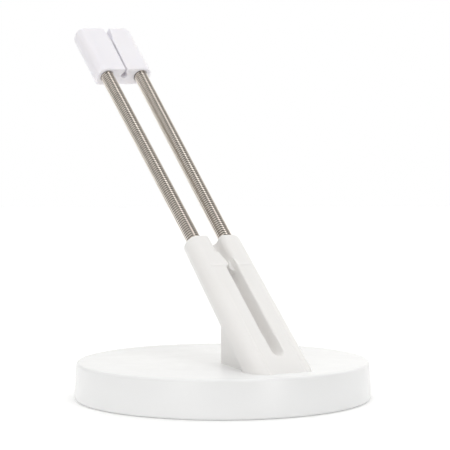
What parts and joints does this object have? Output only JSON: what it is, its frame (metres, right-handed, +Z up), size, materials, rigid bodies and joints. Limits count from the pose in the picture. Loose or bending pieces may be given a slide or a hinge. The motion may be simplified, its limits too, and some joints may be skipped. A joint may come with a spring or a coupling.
{
  "type": "cable holder stand",
  "caption": "Weighted round stand with a leaning post and paired coil springs whose split top clip holds a mouse cable clear of the desk.",
  "frame": {"origin": "middle of the underside, on the plane of the non-slip ring's lower face", "axes": "+Z up from the desk, +X the way the springs lean and the cable leaves, +Y the left side when looking along +X"},
  "size_m": [0.1461, 0.1, 0.1333],
  "materials": {
    "cover_plastic": "smooth white moulded plastic, satin to semi-gloss",
    "post_plastic": "fine-textured white moulded plastic",
    "plate_plastic": "plain white moulded plastic",
    "ballast_steel": "zinc-plated sheet steel",
    "screw_steel": "zinc-plated",
    "pin_steel": "turned steel",
    "ring_rubber": "soft matt rubber",
    "clip_rubber": "soft white silicone rubber with a cool tint",
    "spring_steel": "close-wound bright steel wire with a warm nickel tint"
  },
  "bodies": {
    "base": {"base_cover": "cover_plastic", "weight_plate": "ballast_steel", "base_plate": "plate_plastic", "base_plate_screws": "screw_steel", "non_slip_ring": "ring_rubber", "post": "post_plastic", "post_screws": "screw_steel", "spring_anchor_left": "pin_steel", "spring_anchor_right": "pin_steel", "spring_left_1": "spring_steel", "spring_right_1": "spring_steel"},
    "left_lower": {"spring_left_2": "spring_steel"},
    "left_middle": {"spring_left_3": "spring_steel"},
    "left_upper": {"spring_left_4": "spring_steel"},
    "clip": {"clip": "clip_rubber", "clip_pin_left": "pin_steel", "spring_left_5": "spring_steel"},
    "right_lower": {"spring_right_2": "spring_steel"},
    "right_middle": {"spring_right_3": "spring_steel"},
    "right_upper": {"spring_right_4": "spring_steel"},
    "right_tip": {"spring_right_5": "spring_steel", "clip_pin_right": "pin_steel"}
  },
  "joints": [
    {"name": "fore_aft_bend", "type": "hinge", "parent": "base", "child": "left_lower", "pos_m": [0.01377, 0.00643, 0.05749], "axis": [0, 1, 0], "range_deg": [-18, 20], "stiffness_Nm_per_rad": 0.6},
    {"name": "sideways_sway", "type": "hinge", "parent": "left_lower", "child": "left_middle", "pos_m": [0.02736, 0.00662, 0.07004], "axis": [-0.6782, 0, 0.7349], "range_deg": [-18, 18], "stiffness_Nm_per_rad": 0.6},
    {"name": "sway_left_high", "type": "hinge", "parent": "left_middle", "child": "left_upper", "pos_m": [0.05382, 0.007, 0.09445], "axis": [-0.6782, 0, 0.7349], "range_deg": [-18, 18]},
    {"name": "bend_left_high", "type": "hinge", "parent": "left_upper", "child": "clip", "pos_m": [0.06742, 0.0072, 0.107], "axis": [0, 1, 0], "range_deg": [-10.8, 12]},
    {"name": "bend_right_low", "type": "hinge", "parent": "base", "child": "right_lower", "pos_m": [0.01377, -0.00643, 0.05749], "axis": [0, 1, 0], "range_deg": [-18, 20]},
    {"name": "sway_right_low", "type": "hinge", "parent": "right_lower", "child": "right_middle", "pos_m": [0.02736, -0.00662, 0.07004], "axis": [-0.6782, 0, 0.7349], "range_deg": [-18, 18]},
    {"name": "sway_right_high", "type": "hinge", "parent": "right_middle", "child": "right_upper", "pos_m": [0.05382, -0.007, 0.09445], "axis": [-0.6782, 0, 0.7349], "range_deg": [-18, 18]},
    {"name": "bend_right_high", "type": "hinge", "parent": "right_upper", "child": "right_tip", "pos_m": [0.06742, -0.0072, 0.107], "axis": [0, 1, 0], "range_deg": [-10.8, 12]}
  ],
  "couplings": [
    {"joint": "sway_left_high", "follows": "sideways_sway", "ratio": -1},
    {"joint": "bend_left_high", "follows": "fore_aft_bend", "ratio": 0.6},
    {"joint": "bend_right_low", "follows": "fore_aft_bend", "ratio": 1},
    {"joint": "sway_right_low", "follows": "sideways_sway", "ratio": 1},
    {"joint": "sway_right_high", "follows": "sideways_sway", "ratio": -1},
    {"joint": "bend_right_high", "follows": "fore_aft_bend", "ratio": 0.6}
  ]
}
